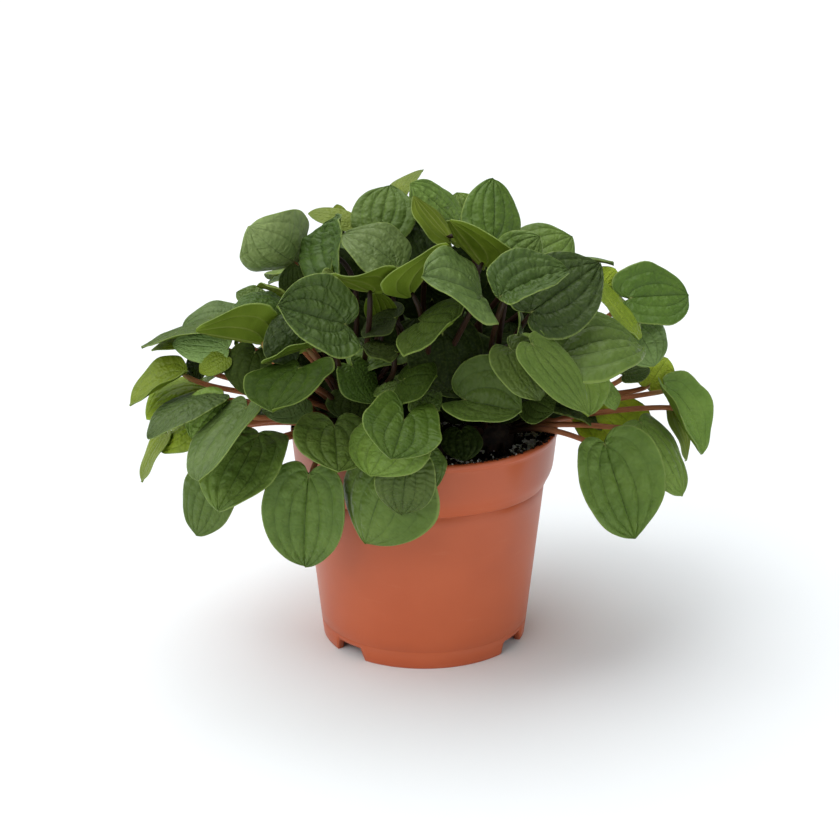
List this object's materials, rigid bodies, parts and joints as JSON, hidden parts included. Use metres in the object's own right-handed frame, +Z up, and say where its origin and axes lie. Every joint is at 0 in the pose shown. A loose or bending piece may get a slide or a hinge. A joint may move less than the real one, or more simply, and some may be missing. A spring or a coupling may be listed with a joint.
{
  "type": "potted peperomia",
  "caption": "Bushy house plant in a tapered plastic nursery pot: heart-shaped veined leaves on long reddish petioles rise from crowns in the soil and spread over the rim.",
  "frame": {"origin": "centre of the pot's foot ring, on the surface that the pot stands on", "axes": "+Z up along the pot's axis, +Y away from the viewer of the picture, +X to the viewer's right"},
  "size_m": [0.2574, 0.2101, 0.213],
  "materials": {
    "pot_plastic": "satin moulded terracotta-coloured plastic",
    "soil": "rough dark peat with white perlite",
    "stem": "matte, knobbly",
    "leaf": "satin, quilted between sunken veins"
  },
  "bodies": {
    "root": {"crown_back": "stem", "crown_front": "stem", "crown_left": "stem", "crown_right": "stem", "leaf_back_1": "leaf", "leaf_back_10": "leaf", "leaf_back_11": "leaf", "leaf_back_12": "leaf", "leaf_back_13": "leaf", "leaf_back_2": "leaf", "leaf_back_3": "leaf", "leaf_back_4": "leaf", "leaf_back_5": "leaf", "leaf_back_6": "leaf", "leaf_back_7": "leaf", "leaf_back_8": "leaf", "leaf_back_9": "leaf", "leaf_front_1": "leaf", "leaf_front_2": "leaf", "leaf_front_3": "leaf", "leaf_front_4": "leaf", "leaf_front_5": "leaf", "leaf_front_6": "leaf", "leaf_left_1": "leaf", "leaf_left_2": "leaf", "leaf_left_3": "leaf", "leaf_left_4": "leaf", "leaf_left_5": "leaf", "leaf_left_6": "leaf", "leaf_left_7": "leaf", "leaf_left_8": "leaf", "leaf_middle_1": "leaf", "leaf_middle_2": "leaf", "leaf_middle_3": "leaf", "leaf_middle_4": "leaf", "leaf_middle_5": "leaf", "leaf_middle_6": "leaf", "leaf_middle_7": "leaf", "leaf_right_1": "leaf", "leaf_right_10": "leaf", "leaf_right_2": "leaf", "leaf_right_3": "leaf", "leaf_right_4": "leaf", "leaf_right_5": "leaf", "leaf_right_6": "leaf", "leaf_right_7": "leaf", "leaf_right_8": "leaf", "leaf_right_9": "leaf", "leaf_top_1": "leaf", "leaf_top_10": "leaf", "leaf_top_2": "leaf", "leaf_top_3": "leaf", "leaf_top_4": "leaf", "leaf_top_5": "leaf", "leaf_top_6": "leaf", "leaf_top_7": "leaf", "leaf_top_8": "leaf", "leaf_top_9": "leaf", "pot": "pot_plastic", "potting_soil": "soil"}
  },
  "joints": []
}
